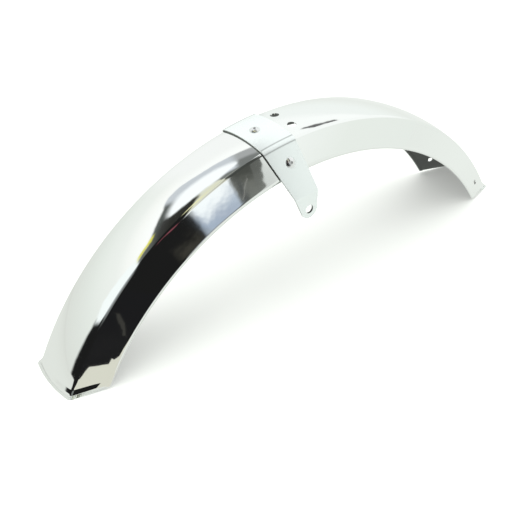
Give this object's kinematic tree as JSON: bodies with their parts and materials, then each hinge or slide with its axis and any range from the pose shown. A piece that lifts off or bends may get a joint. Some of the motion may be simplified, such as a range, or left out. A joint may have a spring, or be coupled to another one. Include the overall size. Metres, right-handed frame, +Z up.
{
  "type": "motorcycle front mudguard",
  "caption": "Chromed steel front mudguard for a light motorcycle, with a riveted plated fork strap.",
  "frame": {"origin": "on the floor under the middle of the arch, where the guard stands on its two end lips", "axes": "+X along the guard towards the end with the stay holes, +Y across the guard, +Z up"},
  "size_m": [0.5398, 0.105, 0.1663],
  "materials": {
    "chrome": "bright chrome plate",
    "zinc": "bright zinc plate on steel strip",
    "rivet": "plain rolled",
    "mandrel": "drawn wire, broken end"
  },
  "bodies": {
    "root": {"mudguard": "chrome", "fork_strap": "zinc", "rivet_bodies": "rivet", "rivet_mandrels": "mandrel"}
  },
  "joints": []
}
